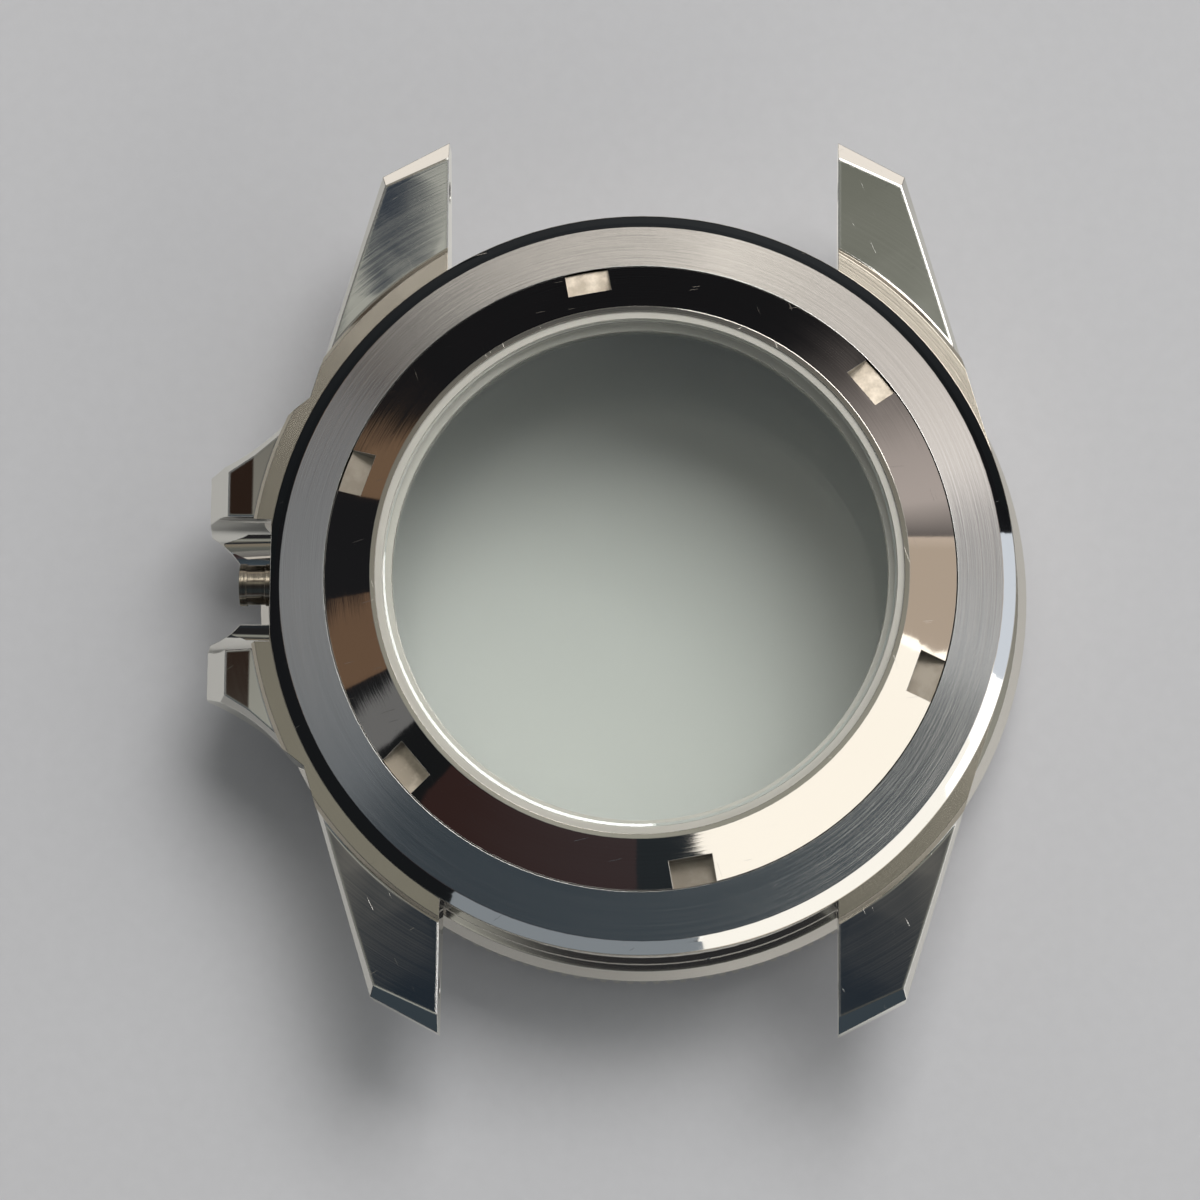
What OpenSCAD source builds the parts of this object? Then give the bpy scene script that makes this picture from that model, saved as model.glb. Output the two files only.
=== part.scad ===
// Empty diver's watch case of stainless steel, lying on its front crystal with its back up.
// The origin is on the case axis, in the outer face of the crystal. +Z leaves through the back,
// +Y runs towards one pair of lugs, and the crown side is -X.

/* [Middle case] */
// How far the bezel stands out over the round body
bezel_overhang = 0.8; // [0.5:0.05:1]
// Height of the band, from the bezel seat to the turned step
band_h = 4.7; // [4.5:0.1:5.4]
// Height of the polished bevel round the back collar
collar_h = 0.35; // [0.25:0.05:0.7]
// Width of that bevel, seen from behind
bevel_w = 0.45; // [0.3:0.05:0.8]
// Height gained by the brushed cone of the collar, with its polished edge
cone_rise = 1.4; // [1.1:0.05:1.7]
// Width of the polished edge round the brushed cone
cone_edge = 0.24; // [0.2:0.02:0.4]
// Height of that edge
cone_edge_h = 0.18; // [0.16:0.01:0.26]
// How far the turned step that crosses the lugs and guards reaches past the round body
step_out = 1; // [0.8:0.05:1.3]
// Width of the small slope at the outer edge of the step
step_edge = 0.2; // [0.1:0.05:0.3]
// Bright bevel along the front and back edges of the body
edge_bevel = 0.25; // [0.1:0.05:0.4]

/* [Lugs] */
// Gap for the strap between two lugs
lug_gap = 20; // [18:0.5:21]
// How far the lug tips reach past the round body
lug_out = 3.9; // [3.5:0.1:5.5]
// Width of a lug at its tip
lug_tip_w = 3.4; // [3:0.1:4]
// How far the outer corner of a tip stands back from the inner one
tip_setback = 1.8; // [1:0.1:2.4]
// Thickness of a lug at its tip
lug_tip_t = 2.4; // [2:0.1:3]
// How far the lug tips reach behind the middle of the lug backs
lug_drop = 1; // [0.6:0.1:1.4]
// How far the middle of the lug backs lies in front of the turned step
lug_sink = 0.7; // [0.5:0.1:0.9]
// Width of the bright bevel along the flank of a lug
flank_bevel = 0.32; // [0.2:0.02:0.5]
// Width of the facet across a lug tip
tip_facet = 0.9; // [0.6:0.1:1.2]
// Slope of that facet
tip_slope = 28; // [20:1:40]
// Diameter of a spring bar hole
bar_hole_d = 1.2; // [1:0.05:1.4]
// Depth of a spring bar hole
bar_hole_depth = 1.6; // [1.2:0.1:2]
// Height of the drill point at the end of that hole
bar_hole_point = 0.36; // [0.2:0.02:0.5]
// Distance of a spring bar hole from the end of the lug
bar_hole_inset = 2.4; // [2:0.1:3]

/* [Crown side] */
// How far the crown guards reach past the round body
guard_out = 3.2; // [2.8:0.1:4]
// Half of the distance over the outer corners of both guards
guard_half = 6.25; // [5.8:0.05:7]
// Half of the width of both guards where they leave the round body
guard_foot = 10.2; // [9.4:0.1:10.6]
// How far a guard's outer corner is set in
guard_corner = 0.5; // [0.3:0.1:1]
// Width of the steep facet outside a guard
guard_facet = 1.2; // [0.8:0.1:1.4]
// Width of the bevel at the front of the guards
guard_front_w = 1.4; // [1:0.1:1.8]
// Height of that bevel
guard_front_h = 1.05; // [0.7:0.05:1.4]
// Radius of the hollow in a guard's flank
guard_hollow_r = 9.6; // [8:0.2:14]
// Depth of that hollow
guard_hollow = 0.2; // [0.1:0.02:0.3]
// Radius of the round pocket that the crown sits in
pocket_r = 3.5; // [3.2:0.05:3.6]
// How deep the pocket's floor lies in the round body
pocket_in = 0.2; // [0.1:0.05:0.4]
// How far the crown axis lies in front of the turned step
crown_drop = 1.55; // [1.4:0.05:1.7]
// Wall of the crown tube
tube_wall = 0.43; // [0.36:0.01:0.46]
// Bore of the crown tube
tube_bore_d = 1.3; // [1.1:0.02:1.4]
// How far the tube stands out of the pocket's floor
tube_out = 1.65; // [1.2:0.05:2]
// Length of the tube's end rim
tube_rim = 0.35; // [0.25:0.05:0.5]
// Depth of the turned neck behind the tube's end rim
tube_neck = 0.07; // [0.04:0.01:0.1]
// Section of the seal ring inside the tube, squeezed level with the bore
tube_seal_t = 0.24; // [0.2:0.01:0.26]

/* [Front crystal] */
// How far the crystal reaches out past the chapter ring
crystal_lap = 0.25; // [0.15:0.05:0.4]
// Thickness of the crystal
crystal_t = 2.8; // [2.6:0.1:3.2]
// Polished bevel round the crystal's outer face
crystal_bevel = 0.35; // [0.2:0.05:0.5]
// Wall of the nylon gasket round the crystal
crystal_gasket_t = 0.5; // [0.4:0.02:0.6]
// Thickness of the gasket's foot under the crystal
gasket_foot_t = 0.25; // [0.2:0.01:0.3]
// Wall of the case neck round the gasket
neck_wall = 1.25; // [1.15:0.05:1.3]
// How far the crystal's gasket stands in front of the neck
gasket_proud = 0.6; // [0.5:0.05:0.8]

/* [Inside] */
// Diameter of the movement's space
movement_d = 28.6; // [28.4:0.1:28.9]
// How far the flange that the dial seats against reaches into that space
flange_in = 0.4; // [0.3:0.05:0.6]
// Thickness of that flange
flange_t = 0.6; // [0.5:0.05:0.8]
// Height of the chapter ring's seat, from the crystal seat to the flange
chapter_h = 1.6; // [1.4:0.1:1.8]
// Width of the flange that the chapter ring rests on
chapter_w = 1.1; // [0.9:0.05:1.2]
// How far the chapter ring reaches in past the flange
chapter_in = 0.15; // [0.05:0.05:0.3]
// Width of the chapter ring's slope, seen from the front
chapter_slope_w = 0.65; // [0.5:0.05:0.8]

/* [Turning bezel] */
// Width of the bezel's steel rim round the insert
bezel_rim_w = 1; // [0.8:0.05:1.3]
// Height of the bezel
bezel_h = 3.4; // [3.3:0.05:3.5]
// Distance of the bezel's rim behind the crystal's outer face
crystal_proud = 0.9; // [0.8:0.05:1]
// Count of flutes in the coin edge
flutes = 180; // [120:12:240]
// Depth of a flute
flute_depth = 0.16; // [0.1:0.02:0.24]
// Bevel at the front and the back of the bezel
bezel_bevel = 0.45; // [0.3:0.05:0.6]
// Height of the plain lip behind the coin edge
bezel_lip = 0.35; // [0.2:0.05:0.6]
// How far the coin edge's crests stand back from that lip
coin_in = 0.06; // [0.04:0.01:0.1]
// Width of the insert
insert_w = 2.85; // [2.4:0.05:3.2]
// Gap between the insert's opening and the crystal's gasket
insert_gap = 0.2; // [0.1:0.05:0.3]
// Thickness of the insert
insert_t = 0.75; // [0.65:0.05:0.8]
// How far the insert rises from its rim to its opening
insert_rise = 0.2; // [0.1:0.05:0.3]
// Thickness of the adhesive under the insert
adhesive_t = 0.1; // [0.06:0.01:0.14]
// Thickness of the bezel's web under the insert
web_t = 0.4; // [0.35:0.05:0.45]
// Count of click positions
clicks = 120; // [60:60:120]
// Depth of the channel in the bezel's back
channel_h = 0.6; // [0.5:0.05:0.7]
// Depth of the click slots in the floor of that channel
click_depth = 0.25; // [0.2:0.05:0.3]
// Thickness of the click spring
click_spring_t = 0.2; // [0.16:0.02:0.24]
// Length of the click spring's bent tongue
tongue_l = 7; // [6:0.5:8]
// Length of the click spring's pins
pin_l = 0.8; // [0.7:0.05:0.9]
// Angle of the pins below the line from the crown through the case axis
pin_angle = 10; // [5:1:20]
// Diameter of the bezel's retaining wire
wire_d = 0.56; // [0.5:0.02:0.6]
// Split in the retaining wire
wire_split = 3; // [2:0.5:5]
// Diameter of the luminous pearl
pearl_d = 1.6; // [1.4:0.1:1.8]
// Depth of the painted marks in the insert
mark_depth = 0.12; // [0.08:0.01:0.16]

/* [Screwed back] */
// How far the back ring's flange reaches past its thread
back_flange_w = 1; // [0.85:0.05:1.2]
// How far the bore for the glass reaches in past the threaded neck
glass_seat_in = 0.45; // [0.3:0.05:0.6]
// Height gained by the back ring's polished cone
back_rise_h = 1.6; // [1.2:0.05:2]
// Ledge between the movement's space and the thread
thread_ledge = 0.6; // [0.5:0.05:0.8]
// Thread pitch
thread_pitch = 0.5; // [0.4:0.05:0.6]
// Length of the threaded neck
thread_l = 1.75; // [1.65:0.05:1.8]
// Free depth of the case's thread past the end of the neck
thread_runout = 0.15; // [0.1:0.01:0.2]
// Wall of the threaded neck
thread_wall = 1.2; // [1:0.05:1.3]
// Thickness of the back ring's flange at its edge
back_flange_t = 0.75; // [0.7:0.05:0.9]
// Section of the back's sealing ring, uncompressed
back_seal_t = 0.78; // [0.7:0.02:0.8]
// Height of that ring as the back squeezes it
back_seal_h = 0.66; // [0.6:0.01:0.68]
// Count of the wrench notches
notches = 6; // [4:1:6]
// Width of a wrench notch
notch_w = 2.2; // [1.8:0.1:2.6]
// Length of a wrench notch, from the edge of the ring inwards
notch_l = 1.35; // [1:0.05:1.5]
// Depth of a notch at the ring's edge
notch_depth = 0.3; // [0.2:0.05:0.4]
// Angle at which the back came to rest when it was screwed down
back_angle = -19.7; // [-30:0.1:30]
// Thickness of the back glass
back_glass_t = 1.25; // [1:0.05:1.3]
// Wall of the nylon gasket round the back glass
back_gasket_t = 0.35; // [0.25:0.05:0.4]
// Width of the ledge in front of the glass
ledge_w = 0.8; // [0.6:0.05:1]
// Thickness of that ledge
ledge_t = 0.65; // [0.5:0.05:0.8]
// How far the ring's rim stands over the glass
glass_sunk = 0.1; // [0:0.05:0.2]

/* [Fits] */
// Radial clearance of parts that turn or screw
running_gap = 0.06; // [0.04:0.01:0.1]
// Clearance between parts that only lie together
rest_gap = 0.03; // [0.02:0.01:0.05]
// Free height between the bezel and what it turns over
bezel_gap = 0.15; // [0.12:0.01:0.2]

/* [Hidden] */
$fn = 96;

// One overrun for every cut
over = 1;

// Heights of the front, from the crystal's outer face
rim_z = crystal_proud;
insert_front_z = rim_z + edge_bevel;
insert_back_z = insert_front_z + insert_t;
web_z = insert_back_z + adhesive_t;
neck_top_z = web_z + web_t + bezel_gap;
crystal_seat_z = crystal_t + rest_gap + gasket_foot_t;
bezel_back_z = rim_z + bezel_h;
shoulder_z = bezel_back_z + bezel_gap;
flange_z = crystal_seat_z + chapter_h;
dial_z = flange_z + flange_t;

// Heights of the back
step_z = shoulder_z + band_h;
collar_z = step_z + collar_h;
cone_z = collar_z + cone_rise;
back_edge_z = cone_z;
flange_under_z = back_edge_z - back_flange_t;
shelf_z = flange_under_z - back_seal_h - rest_gap;
thread_end_z = flange_under_z - thread_l;
back_rim_z = back_edge_z + back_rise_h;
glass_top_z = back_rim_z - glass_sunk;
glass_z = glass_top_z - back_glass_t;
ledge_top_z = glass_z - gasket_foot_t - rest_gap;

// Radii of the inside, from the movement's space outwards
move_r = movement_d / 2;
flange_r = move_r - flange_in;
chapter_r = flange_r + chapter_w;
chapter_dial_r = flange_r - chapter_in;
crystal_r = chapter_r + crystal_lap;
neck_in_r = crystal_r + crystal_gasket_t;
neck_r = neck_in_r + neck_wall;

// Radii of the bezel and of the body under it
insert_in_r = neck_in_r + insert_gap;
insert_r = insert_in_r + insert_w;
bezel_r = insert_r + bezel_rim_w;
case_r = bezel_r - bezel_overhang;
collar_r = case_r - bevel_w;
step_r = case_r + step_out;

// Radii of the back
thread_r = move_r + thread_ledge;
back_r = thread_r + back_flange_w;
thread_in_r = thread_r - thread_wall;
back_in_r = thread_in_r - glass_seat_in;
ledge_r = back_in_r - ledge_w;

// The lug backs are hollow cylinders and their fronts round ones, with axes along X
lug_tip_y = case_r + lug_out;
lug_low_z = shoulder_z + 2 * edge_bevel;
lug_back_z = step_z - lug_sink;
lug_back_r = pow(lug_tip_y, 2) / (2 * lug_drop);
lug_root_share = 0.45;
lug_root_y = lug_tip_y * lug_root_share;
lug_front_rise = lug_back_z + lug_drop - lug_tip_t - shoulder_z;
lug_front_r = (pow(lug_tip_y, 2) - pow(lug_root_y, 2)) / (2 * lug_front_rise);
lug_front_z = shoulder_z - pow(lug_root_y, 2) / (2 * lug_front_r);
function lug_back_at(y) = lug_back_z + lug_back_r - sqrt(pow(lug_back_r, 2) - pow(y, 2));

// A reach past the whole case
reach = 2 * lug_tip_y;

// The flank runs from the outer corner of the lug tip and grazes the round body
tip_x = lug_gap / 2 + lug_tip_w;
tip_y = lug_tip_y - tip_setback;
touch_r = case_r - rest_gap;
touch_a = atan2(tip_y, tip_x) - acos(touch_r / norm([tip_x, tip_y]));
touch = [touch_r * cos(touch_a), touch_r * sin(touch_a)];
bar_hole_y = lug_tip_y - bar_hole_inset;
bar_hole_z = lug_back_at(bar_hole_y) - lug_tip_t / 2;

// Guards and crown tube
guard_reach = case_r + guard_out;
guard_back_z = lug_back_z;
guard_mid_z = (shoulder_z + guard_back_z) / 2;
guard_foot_x = sqrt(pow(case_r, 2) - pow(guard_foot, 2));
guard_shoulder_x = guard_reach - guard_facet;
crown_z = step_z - crown_drop;
pocket_floor = case_r - pocket_in;
tube_in_r = tube_bore_d / 2;
tube_r = tube_in_r + tube_wall;
tube_start = thread_r + running_gap + rest_gap;
tube_end = pocket_floor + tube_out;
seal_in_r = tube_in_r + rest_gap;
seal_x_share = 1 / 3;
seal_x = tube_end - (tube_end - tube_start) * seal_x_share;

// Bezel channel with the click slots, between the neck and the coin edge
channel_in_r = neck_r + running_gap;
channel_r = bezel_r - bezel_bevel - 2 * flute_depth - running_gap;
wire_mid_r = neck_r + running_gap / 2;
wire_z = neck_top_z + wire_d + rest_gap;
wire_groove = wire_d / 2 + rest_gap;
spring_in_r = neck_r + running_gap;
spring_r = channel_r - bezel_gap;
spring_mid_r = (spring_in_r + spring_r) / 2;
slot_w = PI * spring_mid_r / clicks;
pin_r_share = 0.25;
pin_r = (spring_r - spring_in_r) * pin_r_share;

// The pearl sits in its cup in the middle of the insert's band
pearl_at_r = insert_in_r + insert_w / 2;
cup_r = pearl_d / 2 + web_t / 2;
cup_floor_z = insert_back_z - insert_rise - mark_depth;

// The turned blank is hollow, because the bores take its middle away
core_r = flange_r - over;

// A ring between two radii and two heights
module ring(r_in, r_out, z0, z1) {
    translate([0, 0, z0]) linear_extrude(z1 - z0) difference() {
        circle(r_out);
        circle(r_in);
    }
}

// Copies what it is given to the four lugs
module four_lugs() {
    for (sx = [0, 1], sy = [0, 1]) mirror([sx, 0, 0]) mirror([0, sy, 0]) children();
}

// Plan of one lug with its flank, for +X and +Y
module lug_plan() {
    polygon([[lug_gap / 2, lug_gap / 2], [lug_gap / 2, lug_tip_y], [tip_x, tip_y], touch]);
}

// A long bar whose lower side cuts an edge from p to q, turned about that edge
module edge_cutter(p, q, tilt) {
    d = q - p;
    along = norm([d.x, d.y]);
    translate(p) rotate([0, 0, atan2(d.y, d.x)]) rotate([0, -atan2(d.z, along), 0])
        rotate([tilt, 0, 0]) translate([-over, -reach / 2, 0])
            cube([norm(d) + 2 * over, reach, reach]);
}

// A round bar along X whose lowest line lies at one height on the case axis
module cross_bar(r, z) {
    translate([0, 0, z + r]) rotate([0, 90, 0]) cylinder(h = reach, r = r);
}

// One lug: its plan, between the hollow back and the round front
module lug() {
    difference() {
        intersection() {
            translate([0, 0, lug_low_z]) linear_extrude(reach) lug_plan();
            cross_bar(lug_front_r, lug_front_z);
        }
        cross_bar(lug_back_r, lug_back_z);
        flank_cut();
        tip_cut();
        translate([lug_gap / 2 - over, bar_hole_y, bar_hole_z]) rotate([0, 90, 0]) bar_hole();
    }
}

// Spring bar hole with its drill point
module bar_hole() {
    rotate_extrude() polygon([
        [0, 0], [bar_hole_d / 2, 0], [bar_hole_d / 2, over + bar_hole_depth],
        [0, over + bar_hole_depth + bar_hole_point]]);
}

// Bright bevel along the flank, from the tip to where the flank leaves the step
module flank_cut() {
    in = flank_bevel;
    q = [tip_x, tip_y, lug_back_at(tip_y) - in];
    p = [touch.x, touch.y, lug_back_at(touch.y) - in];
    edge_cutter(q, p, -45);
}

// Facet across the lug tip
module tip_cut() {
    drop = tip_facet * tan(tip_slope);
    p = [lug_gap / 2, lug_tip_y, lug_back_at(lug_tip_y) - drop];
    q = [tip_x, tip_y, lug_back_at(lug_tip_y) - drop];
    edge_cutter(p - (q - p), q + (q - p), -tip_slope);
}

// Plan of both crown guards, without the pocket between them
module guard_plan() {
    side = [[-guard_reach, guard_half - guard_corner], [-guard_shoulder_x, guard_half],
            [-guard_foot_x, guard_foot], [-guard_foot_x / 2, guard_foot]];
    polygon(concat(side, [for (i = [len(side) - 1 : -1 : 0]) [side[i].x, -side[i].y]]));
}

// Facets that slope away from the back of the guards
module guard_cuts() {
    steep = atan2(guard_back_z - guard_mid_z, guard_facet);
    flank_a = atan2(guard_foot - guard_half, guard_shoulder_x - guard_foot_x);
    hollow_half = sqrt(pow(guard_hollow_r, 2) - pow(guard_hollow_r - guard_hollow, 2));
    translate([-guard_reach, 0, guard_mid_z]) rotate([0, -steep, 0])
        translate([-reach / 2, -reach / 2, 0]) cube([reach, reach, reach]);
    translate([-guard_shoulder_x, 0, guard_back_z - step_edge])
        rotate([0, -atan2(step_edge, guard_facet), 0])
            translate([-reach / 2, -reach / 2, 0]) cube([reach, reach, reach]);
    // bevel at the front
    translate([-guard_reach + guard_front_w, 0, shoulder_z])
        rotate([0, atan2(guard_front_h, guard_front_w), 0])
            translate([-reach, -reach / 2, -reach]) cube([reach, reach, reach]);
    for (s = [0, 1]) mirror([0, s, 0]) {
        edge_cutter([-guard_shoulder_x, guard_half, guard_back_z - step_edge - flank_bevel],
            [-guard_foot_x, guard_foot, guard_back_z - flank_bevel], -45);
        // hollow of the flank, which starts at the outer corner
        translate([-guard_shoulder_x, guard_half, 0]) rotate([0, 0, flank_a])
            translate([hollow_half + rest_gap, guard_hollow_r - guard_hollow, 0])
                cylinder(h = reach, r = guard_hollow_r);
    }
}

module guards() {
    difference() {
        translate([0, 0, shoulder_z]) linear_extrude(guard_back_z - shoulder_z) guard_plan();
        guard_cuts();
    }
}

// Turned step: a low disc that crosses the lugs and the guards
module turned_step() {
    intersection() {
        union() {
            translate([0, 0, lug_back_z - lug_sink]) cylinder(h = 2 * lug_sink - step_edge, r = step_r);
            translate([0, 0, step_z - step_edge]) cylinder(h = step_edge, r1 = step_r, r2 = step_r - step_edge);
        }
        translate([0, 0, shoulder_z]) linear_extrude(reach) {
            for (sx = [0, 1], sy = [0, 1]) mirror([sx, 0]) mirror([0, sy]) lug_plan();
            guard_plan();
        }
    }
}

// Round body, collar, brushed cone and front neck as one turned blank
module turned_body() {
    rotate_extrude() polygon([
        [core_r, shoulder_z], [case_r - edge_bevel, shoulder_z],
        [case_r, shoulder_z + edge_bevel], [case_r, step_z], [collar_r, collar_z],
        [collar_r - cone_edge, collar_z + cone_edge_h], [back_r, cone_z], [core_r, cone_z]]);
    ring(core_r, neck_r, neck_top_z, shoulder_z + over);
}

// Everything that is bored and turned out of the case along its axis
module case_bores() {
    translate([0, 0, -over]) cylinder(h = reach, r = flange_r);
    translate([0, 0, -over]) cylinder(h = flange_z + over, r = chapter_r + running_gap);
    translate([0, 0, -over]) cylinder(h = crystal_seat_z + over, r = neck_in_r);
    translate([0, 0, dial_z]) cylinder(h = reach, r = move_r);
    translate([0, 0, thread_end_z - thread_runout]) cylinder(h = reach, r = thread_r + running_gap);
    translate([0, 0, shelf_z]) cylinder(h = reach, r = back_r + running_gap);
    for (z = [shelf_z - thread_pitch : -thread_pitch : thread_end_z + thread_pitch])
        thread_groove(thread_r + running_gap, z, 1);
}

// One turn of thread as a V groove, cut outwards for side 1 and inwards for side -1
module thread_groove(r, z, side) {
    half_share = 0.3;
    deep_share = 0.4;
    half = thread_pitch * half_share;
    rotate_extrude() polygon([
        [r - side * over, z - half], [r, z - half], [r + side * thread_pitch * deep_share, z],
        [r, z + half], [r - side * over, z + half]]);
}

module middle_case() {
    color("silver") difference() {
        union() {
            turned_body();
            four_lugs() lug();
            guards();
            turned_step();
        }
        case_bores();
        // the crown's pocket
        translate([-pocket_floor, 0, crown_z]) rotate([0, -90, 0]) cylinder(h = reach, r = pocket_r);
        translate([0, 0, crown_z]) rotate([0, -90, 0]) cylinder(h = reach, r = tube_r);
        // groove of the bezel's retaining wire
        wire_groove_ring(neck_r - wire_groove, neck_r + over);
        // holes of the click spring's pins
        click_pins(rest_gap);
    }
}

// Groove for the retaining wire, between two radii
module wire_groove_ring(r_in, r_out) {
    ring(r_in, r_out, wire_z - wire_groove, wire_z + wire_groove);
}

module crown_tube() {
    color("tan") difference() {
        translate([-tube_start, 0, crown_z]) rotate([0, -90, 0])
            cylinder(h = tube_end - tube_start, r = tube_r);
        translate([0, 0, crown_z]) rotate([0, -90, 0]) cylinder(h = reach, r = tube_in_r);
        // turned neck behind the rim
        translate([-tube_end + tube_rim, 0, crown_z]) rotate([0, 90, 0]) difference() {
            cylinder(h = tube_out - 2 * tube_rim, r = tube_r + over);
            cylinder(h = tube_out - 2 * tube_rim, r = tube_r - tube_neck);
        }
        // groove of the seal
        translate([-seal_x, 0, crown_z]) rotate([0, 90, 0])
            cylinder(h = tube_seal_t + 2 * rest_gap, r = seal_in_r + tube_seal_t + rest_gap, center = true);
    }
}

module tube_seal() {
    color("black") translate([-seal_x, 0, crown_z]) rotate([0, 90, 0])
        rotate_extrude() translate([seal_in_r + tube_seal_t / 2, 0]) circle(d = tube_seal_t);
}

module front_crystal() {
    color("lightcyan", 0.4) rotate_extrude() polygon([
        [0, 0], [crystal_r - crystal_bevel, 0], [crystal_r, crystal_bevel],
        [crystal_r, crystal_t], [0, crystal_t]]);
}

module crystal_gasket() {
    color("whitesmoke") rotate_extrude() polygon([
        [crystal_r + rest_gap, neck_top_z - gasket_proud], [neck_in_r, neck_top_z - gasket_proud],
        [neck_in_r, crystal_seat_z], [chapter_r + running_gap, crystal_seat_z],
        [chapter_r + running_gap, crystal_seat_z - gasket_foot_t],
        [crystal_r + rest_gap, crystal_seat_z - gasket_foot_t]]);
}

module chapter_ring() {
    color("gainsboro") rotate_extrude() polygon([
        [chapter_dial_r + chapter_slope_w, crystal_t + rest_gap], [chapter_r, crystal_t + rest_gap],
        [chapter_r, flange_z], [chapter_dial_r, flange_z],
        [chapter_dial_r, flange_z - edge_bevel]]);
}

// Coin edge: flutes with a flat between them, as one outline
module coin_outline() {
    corner_shares = [0, 0.3, 0.5, 0.8];
    polygon([for (i = [0 : flutes - 1], k = [0 : 3])
        let (a = 360 / flutes * (i + corner_shares[k]),
             r = bezel_r - coin_in - (k < 2 ? 0 : flute_depth)) [r * cos(a), r * sin(a)]]);
}

// The bezel's outside: a coin edge in front, a plain lip behind, and a bevel at each end
module bezel_blank() {
    lip_z = bezel_back_z - bezel_bevel - bezel_lip;
    intersection() {
        union() {
            translate([0, 0, rim_z]) linear_extrude(lip_z + bezel_lip - rim_z) coin_outline();
            translate([0, 0, lip_z]) cylinder(h = bezel_back_z - lip_z, r = bezel_r);
        }
        rotate_extrude() polygon([
            [core_r, rim_z], [bezel_r - bezel_bevel, rim_z],
            [bezel_r + over, rim_z + bezel_bevel + over],
            [bezel_r + over, bezel_back_z - bezel_bevel - over],
            [bezel_r - bezel_bevel, bezel_back_z], [core_r, bezel_back_z]]);
    }
}

// A seat or a layer that follows the insert's slope, from one height behind its face to another
module sloped_ring(r_in, r_out, z0, z1) {
    slope = insert_rise / insert_w;
    lift_in = slope * (insert_r - r_in);
    lift_out = slope * (insert_r - r_out);
    rotate_extrude() polygon([
        [r_in, insert_front_z + z0 - lift_in], [r_out, insert_front_z + z0 - lift_out],
        [r_out, insert_front_z + z1 - lift_out], [r_in, insert_front_z + z1 - lift_in]]);
}

module bezel_ring() {
    color("silver") difference() {
        bezel_blank();
        // bore over the neck, and the opening of the web
        translate([0, 0, web_z + web_t]) cylinder(h = reach, r = neck_r + running_gap);
        translate([0, 0, -over]) cylinder(h = reach, r = insert_in_r + running_gap);
        // seat of the insert
        sloped_ring(insert_in_r - over, insert_r + running_gap, -over, insert_t + adhesive_t);
        // groove of the retaining wire
        wire_groove_ring(neck_r - over, neck_r + running_gap + wire_groove + rest_gap);
        // channel with the click slots
        ring(neck_r, channel_r, bezel_back_z - channel_h, bezel_back_z + over);
        translate([0, 0, bezel_back_z - channel_h - click_depth]) linear_extrude(click_depth + over)
            click_slots();
    }
}

// Slots that the click spring drops into
module click_slots() {
    for (i = [0 : clicks - 1]) rotate(i * 360 / clicks)
        translate([(spring_in_r + spring_mid_r) / 2, -slot_w / 2])
            square([(channel_r - spring_in_r) / 2, slot_w]);
}

module pearl_hole(r) {
    translate([0, pearl_at_r, -over]) cylinder(h = reach, r = r);
}

module bezel_insert() {
    color("#15171a") difference() {
        sloped_ring(insert_in_r, insert_r, 0, insert_t);
        intersection() {
            sloped_ring(insert_in_r - over, insert_r + over, -over, mark_depth);
            marks();
        }
        pearl_hole(cup_r);
    }
}

module insert_adhesive() {
    color("khaki") difference() {
        sloped_ring(insert_in_r + web_t, insert_r - web_t, insert_t, insert_t + adhesive_t);
        pearl_hole(cup_r);
    }
}

// One bar of the chosen kind, across the middle of the insert's band
module mark_bar(long_shares, wide_shares, kind) {
    size = [insert_w * wide_shares[kind], insert_w * long_shares[kind]];
    translate([0, pearl_at_r]) square(size, center = true);
}

// Plans of the marks: bars at the hours, short lines for the first quarter hour
module mark_plan() {
    long_shares = [0.62, 0.42, 0.25];
    wide_shares = [0.3, 0.16, 0.1];
    triangle_share = 0.46;
    for (h = [1 : 11]) rotate(-30 * h) mark_bar(long_shares, wide_shares, h % 3 == 0 ? 0 : 1);
    for (m = [1 : 14]) if (m % 5 != 0) rotate(-6 * m) mark_bar(long_shares, wide_shares, 2);
    translate([0, pearl_at_r]) difference() {
        circle(insert_w * triangle_share, $fn = 3);
        circle(cup_r + rest_gap);
    }
}

module marks() {
    translate([0, 0, -over]) linear_extrude(reach) mark_plan();
}

module insert_marks() {
    color("white") intersection() {
        sloped_ring(insert_in_r, insert_r, 0, mark_depth);
        marks();
    }
}

module pearl_cup() {
    color("silver") difference() {
        intersection() {
            pearl_hole(cup_r);
            sloped_ring(insert_in_r, insert_r, -mark_depth, insert_t);
        }
        translate([0, pearl_at_r, -over]) cylinder(h = over + cup_floor_z, d = pearl_d);
    }
}

module luminous_pearl() {
    dome_share = 0.7;
    dome_r = pearl_d * dome_share;
    front_z = insert_front_z - insert_rise - mark_depth;
    color("honeydew") translate([0, pearl_at_r, front_z]) intersection() {
        translate([0, 0, dome_r]) sphere(dome_r);
        cylinder(h = cup_floor_z - front_z, d = pearl_d - rest_gap);
    }
}

module bezel_slip_ring() {
    color("ivory") ring(neck_in_r + rest_gap, neck_r - rest_gap, web_z + web_t + rest_gap, neck_top_z);
}

module bezel_retaining_wire() {
    color("silver") difference() {
        translate([0, 0, wire_z]) rotate_extrude() translate([wire_mid_r, 0]) circle(d = wire_d);
        translate([-wire_split / 2, 0, 0]) cube([wire_split, reach, reach]);
    }
}

// Pins of the click spring, or their holes with a clearance
module click_pins(gap) {
    for (a = [-pin_angle, 180 + pin_angle])
        rotate(a) translate([spring_mid_r, 0, shoulder_z - click_spring_t])
            cylinder(h = pin_l + gap, r = pin_r + gap);
}

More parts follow.
